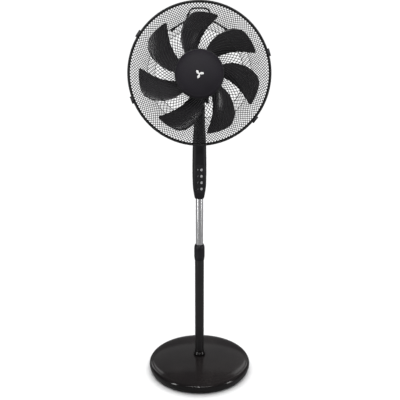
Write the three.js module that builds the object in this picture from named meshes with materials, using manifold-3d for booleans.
// A pedestal fan: round weighted base, telescopic pole, control column, and an oscillating
// head with a seven-blade rotor in a wire cage. Millimetres, +Z up, the fan faces -Y.
// The origin is on the floor, on the pole's axis.
import * as THREE from 'three';
import { mergeVertices } from 'three/addons/utils/BufferGeometryUtils.js';
import Module from 'manifold-3d';

const wasm = await Module();
wasm.setup();

// ---------------------------------------------------------------- driving dimensions
const GAP = 0.3; // clearance between neighbouring pieces
const WALL = 2.5; // moulded plastic wall
const TAU = Math.PI * 2;

const BASE = { radius: 185, bottom: 4, wallTop: 26, shoulder: 14, top: 60, skin: 3 };
const FOOT = { height: 6, radius: 13, ring: 148, count: 5 };
const PLATE = { radius: 160, thickness: 5.5 };
const SOCKET = { radius: 22, height: 21, flange: 8, neck: 17.6, coneTop: 14.6 };
const OUTER_TUBE = { radius: 16, wall: 1.5, bottom: 30, top: 446 };
const INNER_TUBE = { radius: 12.5, wall: 1.2, bottom: 250, top: 700 };
const COLLAR = { bottom: 442, top: 500.5, radius: 18.6, foot: 17.4 };
const COLUMN = { bottom: 672.5, top: 985 };
const BUTTON = { halfWidth: 3.8, halfHeight: 4.8, x: 7, lowest: 713, pitch: 23, proud: 5 };
const PIVOT_Z = 1015; // tilt hinge
const TILT_DEG = 10.8; // how far up the head looks at rest
const AXIS_H = 86; // motor axis above the tilt hinge, in the head's own frame

// Along the motor axis, measured forwards from the swivel pin.
const SPLIT = 6; // joint between the motor's two housings
const MOTOR = { radius: 52, front: 62, rear: -74, boss: 19 };
const RIM = { radius: 225.5, centre: 124, wire: 1.8, wireRing: 219.4 };
const FRONT_GUARD = { depth: 54, hubRing: 74, ribs: 18, twist: -0.72 };
const REAR_GUARD = { depth: 57, hubRing: 58, ribs: 18, twist: 0.72 };
const CAP = { radius: 74, back: 182.2, front: 194 };
const BLADES = { count: 7, first: 109.4, hub: 42, tip: 191.5, back: 86, front: 130, thickness: 2.4 };
const SHAFT_R = 4;

// ---------------------------------------------------------------- solids
// A closed geometry as a solid with its faces pointing out.
function solid(geometry) {
  const plain = geometry.clone();
  plain.deleteAttribute('normal');
  plain.deleteAttribute('uv');
  const merged = mergeVertices(plain, 1e-4);
  const index = [];
  for (let i = 0; i < merged.index.count; i += 3) {
    const [a, b, c] = [0, 1, 2].map((k) => merged.index.getX(i + k));
    if (a !== b && b !== c && c !== a) index.push(a, b, c);
  }
  const make = (tris) =>
    new wasm.Manifold(new wasm.Mesh({
      numProp: 3,
      vertProperties: new Float32Array(merged.attributes.position.array),
      triVerts: new Uint32Array(tris),
    }));
  const made = make(index);
  if (made.volume() >= 0) return made;
  for (let i = 0; i < index.length; i += 3) [index[i], index[i + 1]] = [index[i + 1], index[i]];
  return make(index);
}

function geometryOf(manifold) {
  const mesh = manifold.getMesh();
  const geometry = new THREE.BufferGeometry();
  geometry.setAttribute('position', new THREE.BufferAttribute(new Float32Array(mesh.vertProperties), 3));
  geometry.setIndex(new THREE.BufferAttribute(new Uint32Array(mesh.triVerts), 1));
  return geometry;
}

const join = (first, ...rest) => geometryOf(rest.reduce((a, g) => a.add(solid(g)), solid(first)));
const cut = (first, ...rest) => geometryOf(rest.reduce((a, g) => a.subtract(solid(g)), solid(first)));
const common = (first, ...rest) => geometryOf(rest.reduce((a, g) => a.intersect(solid(g)), solid(first)));

// A profile of [radius, height] points turned about Z. It closes on itself, or on the axis.
function turned(profile, sides = 20) {
  const points = profile.map(([r, z]) => new THREE.Vector2(r, z));
  const onAxis = profile[0][0] === 0 && profile.at(-1)[0] === 0;
  if (!onAxis) points.push(points[0].clone());
  return new THREE.LatheGeometry(points, sides).rotateX(Math.PI / 2);
}

const disc = (radius, low, high, sides = 16) =>
  turned([[0, low], [radius, low], [radius, high], [0, high]], sides);
const ring = (outer, inner, low, high, sides = 20) =>
  turned([[inner, low], [outer, low], [outer, high], [inner, high]], sides);

function block(x0, x1, y0, y1, z0, z1) {
  const box = new THREE.BoxGeometry(x1 - x0, y1 - y0, z1 - z0);
  return box.translate((x0 + x1) / 2, (y0 + y1) / 2, (z0 + z1) / 2);
}

// Points of a quarter-like arc in a profile, from angle a to angle b in degrees.
function arc(centreR, centreZ, radius, a, b, steps) {
  return Array.from({ length: steps + 1 }, (_, i) => {
    const t = THREE.MathUtils.degToRad(a + ((b - a) * i) / steps);
    return [centreR + radius * Math.cos(t), centreZ + radius * Math.sin(t)];
  });
}

// A flat outline pulled up along Z.
const prism = (shape, low, high, curveSegments = 8) =>
  new THREE.ExtrudeGeometry(shape, { depth: high - low, bevelEnabled: false, curveSegments })
    .translate(0, 0, low);

function roundedRectangle(halfWidth, halfHeight, radius) {
  const shape = new THREE.Shape();
  shape.moveTo(halfWidth, 0);
  shape.absarc(halfWidth - radius, halfHeight - radius, radius, 0, TAU / 4);
  shape.absarc(radius - halfWidth, halfHeight - radius, radius, TAU / 4, TAU / 2);
  shape.absarc(radius - halfWidth, radius - halfHeight, radius, TAU / 2, TAU * 0.75);
  shape.absarc(halfWidth - radius, radius - halfHeight, radius, TAU * 0.75, TAU);
  return shape;
}

function ellipse(halfWidth, halfHeight) {
  const shape = new THREE.Shape();
  shape.absellipse(0, 0, halfWidth, halfHeight, 0, TAU);
  return shape;
}

// A bar of regular section along a curve.
function bar(curve, radius, sides, steps) {
  const section = new THREE.Shape(
    Array.from({ length: sides }, (_, i) => {
      const t = (TAU * (i + 0.5)) / sides;
      return new THREE.Vector2(radius * Math.cos(t), radius * Math.sin(t));
    }),
  );
  return new THREE.ExtrudeGeometry(section, { steps, bevelEnabled: false, extrudePath: curve });
}

// A cylinder about Z turned to lie along Y or X.
const alongY = (geometry) => geometry.rotateX(-Math.PI / 2);
const alongX = (geometry) => geometry.rotateY(Math.PI / 2);

// ---------------------------------------------------------------- finishes
const finish = (color, roughness, metalness) =>
  new THREE.MeshStandardMaterial({ color, roughness, metalness });
const FINISH = {
  baseGloss: finish(0x1d1816, 0.22, 0),
  tubeBlack: finish(0x1b1b1c, 0.4, 0.3),
  tubeBright: finish(0xb9b9ba, 0.3, 0.9),
  plasticBlack: finish(0x1c1c1f, 0.42, 0),
  plasticGrey: finish(0x333336, 0.45, 0),
  bladeGloss: finish(0x151517, 0.25, 0),
  wireBlack: finish(0x161616, 0.4, 0.2),
  buttonSilver: finish(0xb4b4b8, 0.35, 0.8),
  rubber: finish(0x202020, 0.85, 0),
  steel: finish(0x8d8d90, 0.4, 0.9),
  copper: finish(0x9a5b34, 0.45, 0.7),
  emblemWhite: finish(0xe8e8e8, 0.5, 0),
};

const fan = new THREE.Group();
function add(parent, name, geometry, material) {
  const mesh = new THREE.Mesh(geometryOf(solid(geometry)), material);
  mesh.geometry.computeVertexNormals();
  mesh.name = name;
  parent.add(mesh);
  return mesh;
}

// ---------------------------------------------------------------- base
function baseCover() {
  const { radius, bottom, wallTop, shoulder, top, skin } = BASE;
  const bore = OUTER_TUBE.radius + GAP;
  const domeEdge = radius - shoulder;
  const domeEdgeTop = wallTop + shoulder;
  const domeR = [150, 100, 40];
  const rise = (r) => domeEdgeTop + (top - domeEdgeTop) * (1 - (r / domeEdge) ** 2) ** 0.8;
  const tuck = [[10, bottom], [4.5, 10], [1, 18]]; // how far the wall turns in, and where
  return turned([
    ...tuck.map(([depth, z]) => [radius - depth, z]),
    ...arc(domeEdge, wallTop, shoulder, 0, 90, 3),
    ...domeR.map((r) => [r, rise(r)]),
    [bore, top],
    [bore, top - skin],
    ...domeR.toReversed().map((r) => [r, rise(r) - skin]),
    ...arc(domeEdge, wallTop, shoulder - skin, 90, 0, 2),
    ...tuck.toReversed().map(([depth, z]) => [radius - depth - skin, z]),
  ], 40);
}
add(fan, 'base_cover', baseCover(), FINISH.baseGloss);

const plateLow = FOOT.height + GAP;
const plateTop = plateLow + PLATE.thickness;
add(fan, 'base_weight_plate', ring(PLATE.radius, 5, plateLow, plateTop, 24), FINISH.steel);

for (let i = 0; i < FOOT.count; i++) {
  const angle = (TAU * (i + 0.25)) / FOOT.count;
  const foot = add(
    fan, `rubber_foot_${i + 1}`,
    turned([
      [0, 0], [FOOT.radius - 1, 0], [FOOT.radius, 1.5], [FOOT.radius - 2, FOOT.height], [0, FOOT.height],
    ], 10),
    FINISH.rubber,
  );
  foot.position.set(FOOT.ring * Math.cos(angle), FOOT.ring * Math.sin(angle), 0);
}

const boltR = 4;
const plugTop = OUTER_TUBE.bottom + 30;
add(
  fan, 'base_bolt',
  join(disc(8, 1.2, FOOT.height, 6), disc(boltR, FOOT.height - 1, plugTop - 4, 12)),
  FINISH.steel,
);
add(
  fan, 'pole_plug',
  ring(OUTER_TUBE.radius - OUTER_TUBE.wall - GAP, boltR + GAP, OUTER_TUBE.bottom, plugTop, 16),
  FINISH.plasticBlack,
);
const socketLow = BASE.top + GAP;
add(
  fan, 'pole_socket',
  turned([
    [OUTER_TUBE.radius + GAP, socketLow],
    [SOCKET.radius, socketLow],
    [SOCKET.radius, socketLow + SOCKET.flange],
    [SOCKET.neck, socketLow + SOCKET.coneTop],
    [SOCKET.neck, socketLow + SOCKET.height],
    [OUTER_TUBE.radius + GAP, socketLow + SOCKET.height],
  ], 20),
  FINISH.baseGloss,
);

// ---------------------------------------------------------------- telescopic pole
const tube = (t) => ring(t.radius, t.radius - t.wall, t.bottom, t.top, 20);
add(fan, 'outer_tube', tube(OUTER_TUBE), FINISH.tubeBlack);
add(
  fan, 'tube_bush',
  turned([
    [INNER_TUBE.radius + GAP, 400],
    [OUTER_TUBE.radius - OUTER_TUBE.wall - GAP, 400],
    [OUTER_TUBE.radius - OUTER_TUBE.wall - GAP, OUTER_TUBE.top + GAP],
    [OUTER_TUBE.radius, OUTER_TUBE.top + GAP],
    [OUTER_TUBE.radius - 1.5, 474],
    [INNER_TUBE.radius + GAP, 474],
  ], 20),
  FINISH.plasticGrey,
);
add(
  fan, 'height_clamp_collar',
  turned([
    [OUTER_TUBE.radius + GAP, COLLAR.bottom],
    [COLLAR.foot, COLLAR.bottom],
    [COLLAR.foot + 0.2, COLLAR.bottom + 5],
    [COLLAR.radius, COLLAR.bottom + 16],
    [COLLAR.radius - 0.5, COLLAR.top - 12],
    [COLLAR.radius - 2.2, COLLAR.top - 3],
    [COLLAR.radius - 4.2, COLLAR.top],
    [INNER_TUBE.radius + GAP, COLLAR.top],
    [INNER_TUBE.radius + GAP, 478],
    [OUTER_TUBE.radius + GAP, 475],
  ], 20),
  FINISH.plasticBlack,
);
add(fan, 'inner_tube', tube(INNER_TUBE), FINISH.tubeBright);

// ---------------------------------------------------------------- control column
// Half width and half depth of the column at a height.
const columnLine = (stations) => {
  const curve = new THREE.CatmullRomCurve3(stations.map(([z, a, b]) => new THREE.Vector3(a, b, z)));
  const points = curve.getPoints(200);
  return (z) => {
    const i = Math.max(1, points.findIndex((p) => p.z >= z));
    const [a, b] = [points[i - 1], points[i]];
    const t = THREE.MathUtils.clamp((z - a.z) / (b.z - a.z), 0, 1);
    return [a.x + (b.x - a.x) * t, a.y + (b.y - a.y) * t];
  };
};
const columnAt = columnLine([
  [COLUMN.bottom, 14.8, 14.8], [677, 16.8, 16.8], [690, 19.2, 19], [712, 22.3, 22], [740, 23.7, 24.2],
  [775, 24.1, 25], [855, 23, 24], [890, 21.4, 22.2], [919, 19.2, 20], [COLUMN.top + 2, 18.6, 19],
]);
const SQUARENESS = 3.4; // superellipse exponent of the column's section

function columnBody(inset, low, high, sides, rows) {
  const profile = [[0, low]];
  for (let i = 0; i <= rows; i++) {
    const t = i / rows;
    profile.push([1, low + (high - low) * (0.35 * t + 0.65 * t * t)]);
  }
  profile.push([0, high]);
  const body = turned(profile, sides);
  const p = body.attributes.position;
  for (let i = 0; i < p.count; i++) {
    const [x, y, z] = [p.getX(i), p.getY(i), p.getZ(i)];
    const [a, b] = columnAt(Math.min(z, COLUMN.top));
    const r = (Math.abs(x) ** SQUARENESS + Math.abs(y) ** SQUARENESS) ** (1 / SQUARENESS);
    const k = Math.hypot(x, y) < 1e-6 ? 0 : 1 / r;
    p.setXYZ(i, x * k * (a - inset), y * k * (b - inset), z);
  }
  return body;
}
const buttonZ = (i) => BUTTON.lowest + BUTTON.pitch * i;
const PANEL = { x0: -11, x1: 14, low: 697, high: 800 };
function panelPrism(grow) {
  const outline = roundedRectangle((PANEL.x1 - PANEL.x0) / 2 + grow, (PANEL.high - PANEL.low) / 2 + grow, 6);
  return alongY(prism(outline, -60, 0, 3))
    .translate((PANEL.x0 + PANEL.x1) / 2, 0, (PANEL.low + PANEL.high) / 2);
}
const tubeHole = () => disc(INNER_TUBE.radius + GAP, COLUMN.bottom - 5, COLUMN.bottom + 12);
const columnShell = cut(
  columnBody(0, COLUMN.bottom, COLUMN.top, 24, 9),
  columnBody(WALL, COLUMN.bottom + 3, COLUMN.top + 5, 16, 5),
  tubeHole(),
);
const frontHalf = block(-40, 40, -60, -GAP / 2, COLUMN.bottom - 5, COLUMN.top + 5);
const rearHalf = block(-40, 40, GAP / 2, 60, COLUMN.bottom - 5, COLUMN.top + 5);
add(fan, 'column_front_cover', cut(common(columnShell, frontHalf), panelPrism(GAP)), FINISH.plasticBlack);

const INLET = { z: 712, hole: 4.4 };
const screwZ = [745, 850, 960];
const rearHole = (radius, z) => alongY(disc(radius, 6, 60, 10)).translate(0, 0, z);
add(
  fan, 'column_rear_cover',
  cut(common(columnShell, rearHalf), rearHole(INLET.hole, INLET.z), ...screwZ.map((z) => rearHole(2.2, z))),
  FINISH.plasticBlack,
);
screwZ.forEach((z, i) => {
  const surface = columnAt(z)[1] + 0.4;
  const screw = join(disc(3.6, surface, surface + 2, 10), disc(1.8, surface - 6, surface + 0.5, 8));
  add(fan, `column_screw_${i + 1}`, alongY(screw), FINISH.steel).position.z = z;
});
const inletSurface = columnAt(INLET.z)[1];
add(
  fan, 'cord_inlet',
  alongY(turned([
    [2.9, inletSurface - 6],
    [INLET.hole - GAP, inletSurface - 6],
    [INLET.hole - GAP, inletSurface + 0.8],
    [7.4, inletSurface + 0.8],
    [7, inletSurface + 3],
    [4.6, inletSurface + 13],
    [2.9, inletSurface + 13],
  ], 14)),
  FINISH.rubber,
).position.z = INLET.z;

const buttonHoles = [0, 1, 2, 3].map((i) =>
  alongY(prism(ellipse(BUTTON.halfWidth + 0.4, BUTTON.halfHeight + 0.4), -60, 0, 5))
    .translate(BUTTON.x, 0, buttonZ(i)));
add(
  fan, 'control_panel',
  cut(common(columnShell, frontHalf, panelPrism(0)), ...buttonHoles),
  FINISH.plasticBlack,
);
add(fan, 'switch_block', block(-13, 15, -7.2, 9, 703, 800), FINISH.plasticGrey);
['high', 'medium', 'low', 'off'].forEach((speed, i) => {
  const face = -columnAt(buttonZ(i))[1] - BUTTON.proud;
  const cap = new THREE.ExtrudeGeometry(ellipse(BUTTON.halfWidth - 1, BUTTON.halfHeight - 1), {
    depth: -12.5 - face - 1, bevelThickness: 1, bevelSize: 1, bevelSegments: 1, curveSegments: 5,
  });
  add(fan, `button_${speed}`, alongY(cap.translate(0, 0, 1)), FINISH.buttonSilver)
    .position.set(BUTTON.x, face, buttonZ(i));
});

// ---------------------------------------------------------------- tilt hinge
const EAR = { inner: 13.4, outer: 18.2, radius: 15 };
const PIN_R = 4;
const pinHole = () => alongX(disc(PIN_R + GAP, -40, 40, 12));
function tiltBracket() {
  const low = COLUMN.top - PIVOT_Z;
  const ear = (side) => {
    const [a, b] = side < 0 ? [-EAR.outer, -EAR.inner] : [EAR.inner, EAR.outer];
    return join(block(a, b, -13, 13, low + 9, 0), alongX(disc(EAR.radius, a, b, 16)));
  };
  return cut(
    join(
      block(-12.8, 12.8, -12, 12, low - 40, low + 6),
      block(-EAR.outer, EAR.outer, -14, 14, low + 1, low + 12),
      ear(-1),
      ear(1),
    ),
    pinHole(),
  );
}
add(fan, 'tilt_bracket', tiltBracket(), FINISH.plasticBlack).position.z = PIVOT_Z;
add(
  fan, 'tilt_pin',
  alongX(join(disc(7, -EAR.outer - 5, -EAR.outer - GAP, 6), disc(PIN_R, -EAR.outer - 1, EAR.outer + 11, 12))),
  FINISH.steel,
).position.z = PIVOT_Z;
function tiltKnob() {
  const inner = EAR.outer + GAP;
  const grip = turned([
    [PIN_R + GAP, inner], [8, inner], [8, inner + 2], [11.5, inner + 3], [11.5, inner + 11],
    [9.5, inner + 13],
    [0, inner + 13], [0, inner + 11.3], [PIN_R + GAP, inner + 11.3],
  ], 14);
  const notches = Array.from({ length: 6 }, (_, i) => {
    const t = (TAU * i) / 6;
    return disc(2.4, inner + 1, inner + 15, 6).translate(12.6 * Math.cos(t), 12.6 * Math.sin(t), 0);
  });
  return alongX(cut(grip, ...notches));
}
add(fan, 'tilt_knob', tiltKnob(), FINISH.plasticBlack).position.z = PIVOT_Z;

// ---------------------------------------------------------------- head
// The head's own frame: origin on the tilt hinge, +Z along the swivel pin.
const head = new THREE.Group();
head.position.z = PIVOT_Z;
head.rotation.x = -THREE.MathUtils.degToRad(TILT_DEG);
fan.add(head);
// The spindle frame: +Z forwards along the motor axis, +Y up, origin above the swivel pin.
const spindle = new THREE.Group();
spindle.position.z = AXIS_H;
spindle.rotation.x = Math.PI / 2;
head.add(spindle);

const LINK = { neckX: -30, neckY: 16, crankX: 14, crankY: 26, throw: 9 };
const SWIVEL_R = 6;
function neckYoke() {
  const lug = alongX(disc(17, -EAR.inner + 0.4, EAR.inner - 0.4));
  const stem = turned([[0, 0], [11, 0], [11, 23], [15, 26.5], [15, 30.7], [0, 30.7]], 16);
  const along = Math.atan2(LINK.neckY, LINK.neckX);
  const reach = Math.hypot(LINK.neckX, LINK.neckY);
  const arm = join(block(5, reach, -5, 5, 17.2, 21.2), disc(5, 17.2, 21.2, 12).translate(reach, 0, 0),
    disc(2.5, 20, 25.6, 12).translate(reach, 0, 0)).rotateZ(along);
  return cut(join(lug, stem, arm), pinHole(), disc(SWIVEL_R + GAP, 6, 40, 14));
}
add(head, 'neck_yoke', neckYoke(), FINISH.plasticBlack);
add(head, 'swivel_pin', disc(SWIVEL_R, 6.5, 45, 14), FINISH.steel);

function linkArm() {
  const length = Math.hypot(LINK.crankX - LINK.neckX, LINK.crankY + LINK.throw - LINK.neckY);
  const eye = (x) => disc(5, 21.6, 25.2, 12).translate(x, 0, 0);
  return cut(
    join(block(0, length, -3, 3, 21.6, 25.2), eye(0), eye(length)),
    disc(2.8, 20, 30, 10),
    disc(2.8, 20, 30, 10).translate(length, 0, 0),
  ).rotateZ(Math.atan2(LINK.crankY + LINK.throw - LINK.neckY, LINK.crankX - LINK.neckX));
}
add(head, 'oscillation_link', linkArm(), FINISH.steel).position.set(LINK.neckX, LINK.neckY, 0);

function crankGear() {
  return join(
    disc(12.5, 27.6, 30.4, 16),
    disc(2.4, 25.9, 28, 10).translate(0, LINK.throw, 0),
    disc(3, 30, AXIS_H + 6, 10),
    disc(9.3, AXIS_H - 5, AXIS_H + 5, 16),
  );
}
add(head, 'crank_gear', crankGear(), FINISH.steel).position.set(LINK.crankX, LINK.crankY, 0);

// Gear case behind the motor: a tray with its lid, standing on the swivel pin.
const CASE = { x0: -13, x1: 26, y0: -5.5, y1: 44, low: 40, high: AXIS_H + 12, wall: 2.5 };
function gearCase() {
  const { x0, x1, y0, y1, low, high, wall } = CASE;
  const foot = common(disc(14, 31.2, low + 8, 20), block(-20, 20, y0, 30, 30, 60));
  return cut(
    join(block(x0, x1, y0, y1, low, high), foot),
    block(x0 + wall, x1 - wall, y0 + wall, y1 - wall, low + 14, high + 5),
    disc(SWIVEL_R + GAP, 20, 45.5, 14),
    disc(3 + GAP, 20, 60, 12).translate(LINK.crankX, LINK.crankY, 0),
    alongY(disc(SHAFT_R + GAP, -6, 20, 12)).translate(0, 0, AXIS_H),
  );
}
add(head, 'gear_case', gearCase(), FINISH.plasticGrey);
add(
  head, 'gear_case_lid',
  cut(block(CASE.x0, CASE.x1, CASE.y0, CASE.y1, CASE.high + GAP, CASE.high + 3),
    disc(3 + GAP, 60, 120, 12).translate(LINK.crankX, LINK.crankY, 0)),
  FINISH.plasticGrey,
);
const KNOB = { low: AXIS_H + MOTOR.radius + 1.5, height: 15, radius: 8.5 };
add(
  head, 'oscillation_knob',
  join(
    disc(3, AXIS_H + 6.5, KNOB.low + 2, 10),
    turned([
      [0, KNOB.low], [KNOB.radius - 2.5, KNOB.low], [KNOB.radius - 1.5, KNOB.low + 6],
      [KNOB.radius, KNOB.low + 9], [KNOB.radius - 0.5, KNOB.low + 13],
      [KNOB.radius - 3, KNOB.low + KNOB.height], [0, KNOB.low + KNOB.height],
    ], 16),
  ),
  FINISH.plasticBlack,
).position.set(LINK.crankX, LINK.crankY, 0);

// ---------------------------------------------------------------- motor
function frontHousing() {
  const { radius, front, boss } = MOTOR;
  const inner = radius - WALL;
  return turned([
    [radius, SPLIT + 0.2],
    ...arc(radius - 14, front - 14, 14, 0, 90, 3),
    [boss, front],
    [boss, front + 13],
    [SHAFT_R + 0.6, front + 13],
    [SHAFT_R + 0.6, front - 4],
    [8.3, front - 4],
    [8.3, front - 14],
    [12, front - 14],
    [12, front - WALL],
    ...arc(radius - 14, front - 14, 14 - WALL, 90, 0, 2),
    [inner, SPLIT + 0.2],
  ], 24);
}
add(spindle, 'motor_front_housing', frontHousing(), FINISH.plasticBlack);

function rearHousing() {
  const { radius, rear } = MOTOR;
  const inner = radius - WALL;
  const profile = [
    [0, rear],
    ...arc(radius - 25, rear + 24, 24, -90, 0, 4),
    [radius - 0.4, -22],
    [radius, SPLIT - 0.2],
    [inner, SPLIT - 0.2],
    [inner - 0.4, -22],
    ...arc(radius - 25, rear + 24, 24 - WALL, 0, -90, 3),
    [0, rear + WALL],
  ];
  const knobHole = disc(KNOB.radius - 0.5, 20, 80, 16).rotateX(-Math.PI / 2)
    .translate(LINK.crankX, 0, -LINK.crankY);
  return cut(turned(profile, 24), block(-16, 29, -70, -36, -47, SPLIT + 1), knobHole);
}
add(spindle, 'motor_rear_housing', rearHousing(), FINISH.plasticBlack);

const BRACKET = { low: 6.8, high: 10 };
add(
  spindle, 'motor_rear_plate',
  turned([
    [8.3, BRACKET.low], [MOTOR.radius - WALL - 0.5, BRACKET.low], [MOTOR.radius - WALL - 0.5, BRACKET.high],
    [12, BRACKET.high], [12, BRACKET.high + 8], [8.3, BRACKET.high + 8],
  ], 20),
  FINISH.steel,
);
const bearing = (low, high) => ring(8, SHAFT_R + 0.1, low, high, 16);
add(spindle, 'rear_bearing', bearing(BRACKET.low, BRACKET.high + 7), FINISH.copper);
add(spindle, 'front_bearing', bearing(MOTOR.front - 13.5, MOTOR.front - 4.5), FINISH.copper);

function stator() {
  const slots = Array.from({ length: 8 }, (_, i) =>
    block(26, 40, -3, 3, 0, 60).rotateZ((TAU * i) / 8));
  return cut(ring(47.5, 25, 20, 44, 20), ...slots);
}
add(spindle, 'motor_stator', stator(), FINISH.steel);
add(spindle, 'stator_winding', ring(38, 27, 11, 19.6, 20), FINISH.copper);
add(spindle, 'run_capacitor', block(-26, -6, -34, -22, -60, -49), FINISH.plasticGrey);

// ---------------------------------------------------------------- rotor
add(
  spindle, 'motor_shaft',
  join(disc(SHAFT_R, -40, 138), disc(SHAFT_R + 0.5, -36, -16)), // the thicker stretch is the worm
  FINISH.steel,
);
add(spindle, 'motor_rotor_core', ring(24.4, SHAFT_R + 0.1, 20, 44, 20), FINISH.steel);

// Blade edges as angles from the blade's root, in degrees, at a share of the tip radius.
const BLADE_EDGES = [
  [0.2, -9, 20], [0.41, -16, 16], [0.6, -23.5, 10.5], [0.7, -27.5, 6], [0.86, -34, -2], [1, -38.5, -9.5],
];
const edgeCurve = (column) =>
  new THREE.SplineCurve(BLADE_EDGES.map((row) => new THREE.Vector2(row[0], row[column])));
const [leading, trailing] = [edgeCurve(1), edgeCurve(2)];
const edgeAngle = (curve, share) => {
  const points = curve.getPoints(60);
  const i = Math.min(points.length - 1, Math.max(1, points.findIndex((p) => p.x >= share)));
  const [a, b] = [points[i - 1], points[i]];
  return a.y + (b.y - a.y) * THREE.MathUtils.clamp((share - a.x) / (b.x - a.x), 0, 1);
};
function blade() {
  const { hub, tip, back, front, thickness } = BLADES;
  const sheet = new THREE.BoxGeometry(1, 1, 1, 6, 4, 1);
  const p = sheet.attributes.position;
  for (let i = 0; i < p.count; i++) {
    const u = p.getX(i) + 0.5; // 0 at the leading edge, 1 at the trailing edge
    const v = p.getY(i) + 0.5; // 0 at the root, 1 at the tip
    const cornerCut = 24 * Math.max(0, (u - 0.55) / 0.45) ** 6;
    const r = hub - 4 + (tip - hub + 4 - cornerCut) * v;
    const share = r / tip;
    const angle = THREE.MathUtils.degToRad(
      THREE.MathUtils.lerp(edgeAngle(leading, share), edgeAngle(trailing, share), u),
    );
    const pitch = THREE.MathUtils.lerp(front - back - 4, 26, v);
    const middle = (front + back) / 2 + 3 * v;
    const camber = 4 * Math.sin(Math.PI * u);
    const z = middle + pitch * (u - 0.5) + camber + p.getZ(i) * thickness;
    p.setXYZ(i, r * Math.cos(angle), r * Math.sin(angle), z);
  }
  return sheet;
}
function fanBlade() {
  const { hub, back, front, count, first } = BLADES;
  const cup = turned([
    [SHAFT_R + GAP, front - 22], [10, front - 22], [10, front - 2.5], [hub - 4, front - 2.5],
    [hub - 2.5, front - 5], [hub - 2.5, back - 5], [hub, back - 5], [hub, front - 4],
    [hub - 4, front], [SHAFT_R + GAP, front],
  ], 21);
  const petals = Array.from({ length: count }, (_, i) =>
    blade().rotateZ(THREE.MathUtils.degToRad(first) + (TAU * i) / count));
  const core = disc(hub - 2.4, back - 12, front - 1, 21);
  return join(cup, ...petals.map((petal) => cut(petal, core)));
}
add(spindle, 'fan_blade', fanBlade(), FINISH.bladeGloss);
add(
  spindle, 'spinner_nut',
  turned([
    [SHAFT_R + GAP, BLADES.front + GAP], [18, BLADES.front + GAP], [17, BLADES.front + 8],
    [12, BLADES.front + 15], [0, BLADES.front + 17], [0, BLADES.front + 9], [SHAFT_R + GAP, BLADES.front + 9],
  ], 16),
  FINISH.plasticBlack,
);

// ---------------------------------------------------------------- cage
// Height of a guard's wires over its rim plane at a radius: a dome that meets the rim squarely.
function domeRise(guard, r, power) {
  const share = THREE.MathUtils.clamp((r - guard.hubRing) / (RIM.wireRing - guard.hubRing), 0, 1);
  return guard.depth * Math.sqrt(1 - share ** power);
}
function cage(guard, side, power, plate) {
  const plane = RIM.centre + side * 2.6;
  const height = (r) => plane + side * domeRise(guard, r, power);
  const rib = (start) => {
    const points = Array.from({ length: 6 }, (_, i) => {
      const t = Math.sin((i / 5) * (Math.PI / 2)) ** 1.1;
      const r = guard.hubRing - 3 + (RIM.wireRing - guard.hubRing + 3) * t;
      const angle = start + guard.twist * (r - guard.hubRing) / (RIM.wireRing - guard.hubRing);
      return new THREE.Vector3(r * Math.cos(angle), r * Math.sin(angle), height(r));
    });
    return bar(new THREE.CatmullRomCurve3(points), 1.3, 3, 5);
  };
  const ribs = Array.from({ length: guard.ribs }, (_, i) => rib((TAU * i) / guard.ribs));
  const rim = new THREE.TorusGeometry(RIM.wireRing, RIM.wire, 4, 44).translate(0, 0, plane);
  return join(plate, rim, ...ribs);
}
const frontHubZ = RIM.centre + 2.6 + FRONT_GUARD.depth;
const rearHubZ = RIM.centre - 2.6 - REAR_GUARD.depth;
const frontPlate = ring(FRONT_GUARD.hubRing + 2, 56, frontHubZ - 1.5, frontHubZ + 1.2, 28);
const rearPlate = ring(REAR_GUARD.hubRing + 2, MOTOR.boss + GAP, rearHubZ - 1.5, rearHubZ + 1.3, 24);
add(spindle, 'rear_guard', cage(REAR_GUARD, -1, 3, rearPlate), FINISH.wireBlack);
add(spindle, 'front_guard', cage(FRONT_GUARD, 1, 2.4, frontPlate), FINISH.wireBlack);

function ringNut() {
  const low = rearHubZ + 1.3 + GAP;
  const body = ring(33, MOTOR.boss + GAP, low, low + 7, 20);
  const notches = Array.from({ length: 8 }, (_, i) =>
    block(29, 40, -4, 4, low - 1, low + 9).rotateZ((TAU * i) / 8));
  return cut(body, ...notches);
}
add(spindle, 'guard_ring_nut', ringNut(), FINISH.plasticBlack);

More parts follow.
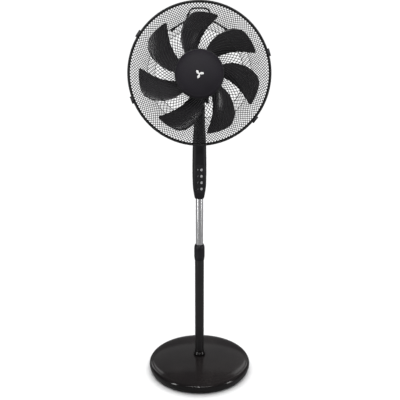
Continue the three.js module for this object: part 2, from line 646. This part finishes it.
function rimHoop() {
  const { radius, centre } = RIM;
  const lip = radius - 4.9;
  const band = radius - 2.2;
  return turned([
    [radius, centre - 9], [radius, centre + 9], [lip, centre + 9], [lip, centre + 6.6],
    [band, centre + 6.6], [band, centre - 6.6], [lip, centre - 6.6], [lip, centre - 9],
  ], 48);
}
add(spindle, 'rim_hoop', rimHoop(), FINISH.wireBlack);

const CLIP_DEG = [17, 147, 201, 321];
function guardClip() {
  const { radius, centre } = RIM;
  return join(
    block(radius + 0.5, radius + 4, -12, 12, centre - 10, centre + 12.4),
    block(radius - 4.6, radius + 4, -9, 9, centre + 9.6, centre + 12.4),
    disc(2, -12, 12, 10).rotateX(Math.PI / 2).translate(radius + 3, 0, centre - 10),
  );
}
CLIP_DEG.forEach((degrees, i) => {
  add(spindle, `guard_clip_${i + 1}`, guardClip(), FINISH.plasticBlack)
    .rotation.z = THREE.MathUtils.degToRad(degrees);
});

function carryHandle() {
  const half = [[25, 203, 58], [35, 188, 59], [43, 168, 61], [60, 156, 64], [86, 139, 67]];
  const left = half.toReversed().map(([x, y, z]) => new THREE.Vector3(-x, y, z));
  const right = half.map(([x, y, z]) => new THREE.Vector3(x, y, z));
  return bar(new THREE.CatmullRomCurve3([...left, new THREE.Vector3(0, 206, 57.5), ...right]), 3.6, 5, 18);
}
add(spindle, 'carry_handle', carryHandle(), FINISH.plasticBlack);

function hubCap() {
  const { radius, back, front } = CAP;
  return turned([
    [0, front], [20, front], [64, front - 4.6], [radius, front - 8.5],
    [radius, back], [radius - 2.4, back], [radius - 2.4, front - 9], [62, front - 7.4],
    [20, front - 2.8], [0, front - 2.8],
  ], 32);
}
add(spindle, 'hub_cap', hubCap(), FINISH.plasticGrey);
function emblem() {
  const petal = (i) =>
    prism(ellipse(6.2, 4), CAP.front + GAP, CAP.front + 1, 4).translate(7.6, 1.8, 0).rotateZ((TAU * i) / 3);
  return join(disc(3, CAP.front + GAP, CAP.front + 1, 12), petal(0), petal(1), petal(2));
}
add(spindle, 'hub_cap_emblem', emblem(), FINISH.emblemWhite);

export default fan;
